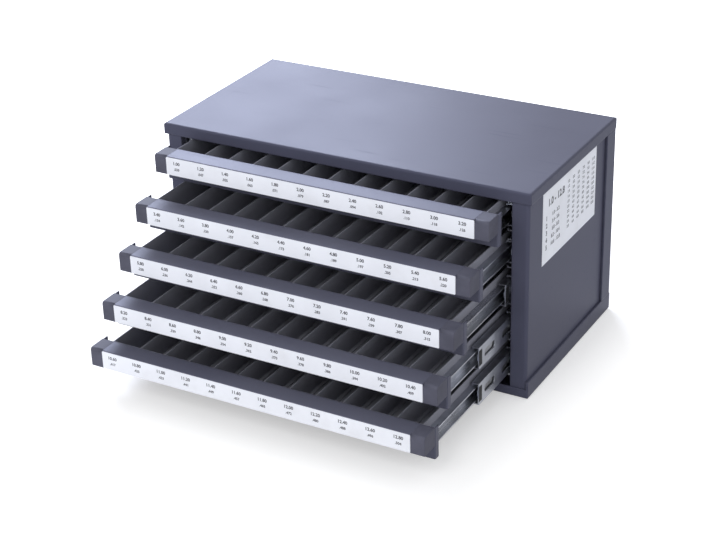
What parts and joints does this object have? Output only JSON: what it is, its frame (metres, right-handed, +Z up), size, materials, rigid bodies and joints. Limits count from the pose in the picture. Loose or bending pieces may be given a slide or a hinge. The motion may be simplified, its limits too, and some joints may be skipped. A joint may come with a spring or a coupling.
{
  "type": "tap storage drawer case",
  "caption": "Bench case of shallow drawers on telescopic ball slides, each split into narrow compartments for twist drills or taps behind a labelled front bar.",
  "frame": {"origin": "centre of the case's base, on the surface that it stands on", "axes": "+Z up, -Y towards the person who opens the drawers, +X to that person's right"},
  "size_m": [0.4, 0.3796, 0.214],
  "materials": {
    "case_paint": "semi-gloss slate paint",
    "inner_paint": "satin dark grey paint",
    "front_paint": "semi-gloss slate paint",
    "tray_paint": "satin dark grey paint",
    "divider_paint": "satin dark grey paint",
    "cap_plastic": "matte moulded plastic",
    "label_card": "matte white card",
    "slide_steel": "bright zinc plate",
    "cage_steel": "greased zinc plate"
  },
  "bodies": {
    "case": {"top_pan": "case_paint", "base_pan": "case_paint", "back_panel": "case_paint", "side_panel_left": "case_paint", "side_panel_right": "case_paint", "slide_panel_left": "inner_paint", "slide_panel_right": "inner_paint", "outer_members": "slide_steel"},
    "middle_1": {"mid_members_1": "slide_steel"},
    "drawer_1": {"tray_1": "tray_paint", "dividers_1": "divider_paint", "front_panel_1": "front_paint", "front_bar_1": "front_paint", "end_caps_1": "cap_plastic", "label_strip_1": "label_card", "drawer_members_1": "slide_steel"},
    "outer_cage_1": {"outer_cages_1": "cage_steel"},
    "inner_cage_1": {"inner_cages_1": "cage_steel"},
    "middle_2": {"mid_members_2": "slide_steel"},
    "drawer_2": {"tray_2": "tray_paint", "dividers_2": "divider_paint", "front_panel_2": "front_paint", "front_bar_2": "front_paint", "end_caps_2": "cap_plastic", "label_strip_2": "label_card", "drawer_members_2": "slide_steel"},
    "outer_cage_2": {"outer_cages_2": "cage_steel"},
    "inner_cage_2": {"inner_cages_2": "cage_steel"},
    "middle_3": {"mid_members_3": "slide_steel"},
    "drawer_3": {"tray_3": "tray_paint", "dividers_3": "divider_paint", "front_panel_3": "front_paint", "front_bar_3": "front_paint", "end_caps_3": "cap_plastic", "label_strip_3": "label_card", "drawer_members_3": "slide_steel"},
    "outer_cage_3": {"outer_cages_3": "cage_steel"},
    "inner_cage_3": {"inner_cages_3": "cage_steel"},
    "middle_4": {"mid_members_4": "slide_steel"},
    "drawer_4": {"tray_4": "tray_paint", "dividers_4": "divider_paint", "front_panel_4": "front_paint", "front_bar_4": "front_paint", "end_caps_4": "cap_plastic", "label_strip_4": "label_card", "drawer_members_4": "slide_steel"},
    "outer_cage_4": {"outer_cages_4": "cage_steel"},
    "inner_cage_4": {"inner_cages_4": "cage_steel"},
    "middle_5": {"mid_members_5": "slide_steel"},
    "drawer_5": {"tray_5": "tray_paint", "dividers_5": "divider_paint", "front_panel_5": "front_paint", "front_bar_5": "front_paint", "end_caps_5": "cap_plastic", "label_strip_5": "label_card", "drawer_members_5": "slide_steel"},
    "outer_cage_5": {"outer_cages_5": "cage_steel"},
    "inner_cage_5": {"inner_cages_5": "cage_steel"}
  },
  "joints": [
    {"name": "middle_slide_1", "type": "slide", "parent": "case", "child": "middle_1", "axis": [0, -1, 0], "range_m": [0, 0.082]},
    {"name": "drawer_slide_1", "type": "slide", "parent": "middle_1", "child": "drawer_1", "axis": [0, -1, 0], "range_m": [-0.0266, 0.0574]},
    {"name": "outer_cage_roll_1", "type": "slide", "parent": "case", "child": "outer_cage_1", "axis": [0, -1, 0], "range_m": [0, 0.041]},
    {"name": "inner_cage_roll_1", "type": "slide", "parent": "middle_1", "child": "inner_cage_1", "axis": [0, -1, 0], "range_m": [-0.0133, 0.0287]},
    {"name": "middle_slide_2", "type": "slide", "parent": "case", "child": "middle_2", "axis": [0, -1, 0], "range_m": [0, 0.082]},
    {"name": "drawer_slide_2", "type": "slide", "parent": "middle_2", "child": "drawer_2", "axis": [0, -1, 0], "range_m": [-0.0645, 0.0195]},
    {"name": "outer_cage_roll_2", "type": "slide", "parent": "case", "child": "outer_cage_2", "axis": [0, -1, 0], "range_m": [0, 0.041]},
    {"name": "inner_cage_roll_2", "type": "slide", "parent": "middle_2", "child": "inner_cage_2", "axis": [0, -1, 0], "range_m": [-0.03225, 0.00975]},
    {"name": "middle_slide_3", "type": "slide", "parent": "case", "child": "middle_3", "axis": [0, -1, 0], "range_m": [-0.0149, 0.0671]},
    {"name": "drawer_slide_3", "type": "slide", "parent": "middle_3", "child": "drawer_3", "axis": [0, -1, 0], "range_m": [-0.082, 0.002]},
    {"name": "outer_cage_roll_3", "type": "slide", "parent": "case", "child": "outer_cage_3", "axis": [0, -1, 0], "range_m": [-0.00745, 0.03355]},
    {"name": "inner_cage_roll_3", "type": "slide", "parent": "middle_3", "child": "inner_cage_3", "axis": [0, -1, 0], "range_m": [-0.041, 0.001]},
    {"name": "middle_slide_4", "type": "slide", "parent": "case", "child": "middle_4", "axis": [0, -1, 0], "range_m": [-0.0715, 0.0105]},
    {"name": "drawer_slide_4", "type": "slide", "parent": "middle_4", "child": "drawer_4", "axis": [0, -1, 0], "range_m": [-0.0578, 0.0262]},
    {"name": "outer_cage_roll_4", "type": "slide", "parent": "case", "child": "outer_cage_4", "axis": [0, -1, 0], "range_m": [-0.03575, 0.00525]},
    {"name": "inner_cage_roll_4", "type": "slide", "parent": "middle_4", "child": "inner_cage_4", "axis": [0, -1, 0], "range_m": [-0.0289, 0.0131]},
    {"name": "middle_slide_5", "type": "slide", "parent": "case", "child": "middle_5", "axis": [0, -1, 0], "range_m": [-0.0715, 0.0105]},
    {"name": "drawer_slide_5", "type": "slide", "parent": "middle_5", "child": "drawer_5", "axis": [0, -1, 0], "range_m": [-0.0823, 0.0017]},
    {"name": "outer_cage_roll_5", "type": "slide", "parent": "case", "child": "outer_cage_5", "axis": [0, -1, 0], "range_m": [-0.03575, 0.00525]},
    {"name": "inner_cage_roll_5", "type": "slide", "parent": "middle_5", "child": "inner_cage_5", "axis": [0, -1, 0], "range_m": [-0.04115, 0.00085]}
  ],
  "couplings": [
    {"joint": "outer_cage_roll_1", "follows": "middle_slide_1", "ratio": 0.5},
    {"joint": "inner_cage_roll_1", "follows": "drawer_slide_1", "ratio": 0.5},
    {"joint": "outer_cage_roll_2", "follows": "middle_slide_2", "ratio": 0.5},
    {"joint": "inner_cage_roll_2", "follows": "drawer_slide_2", "ratio": 0.5},
    {"joint": "outer_cage_roll_3", "follows": "middle_slide_3", "ratio": 0.5},
    {"joint": "inner_cage_roll_3", "follows": "drawer_slide_3", "ratio": 0.5},
    {"joint": "outer_cage_roll_4", "follows": "middle_slide_4", "ratio": 0.5},
    {"joint": "inner_cage_roll_4", "follows": "drawer_slide_4", "ratio": 0.5},
    {"joint": "outer_cage_roll_5", "follows": "middle_slide_5", "ratio": 0.5},
    {"joint": "inner_cage_roll_5", "follows": "drawer_slide_5", "ratio": 0.5}
  ]
}
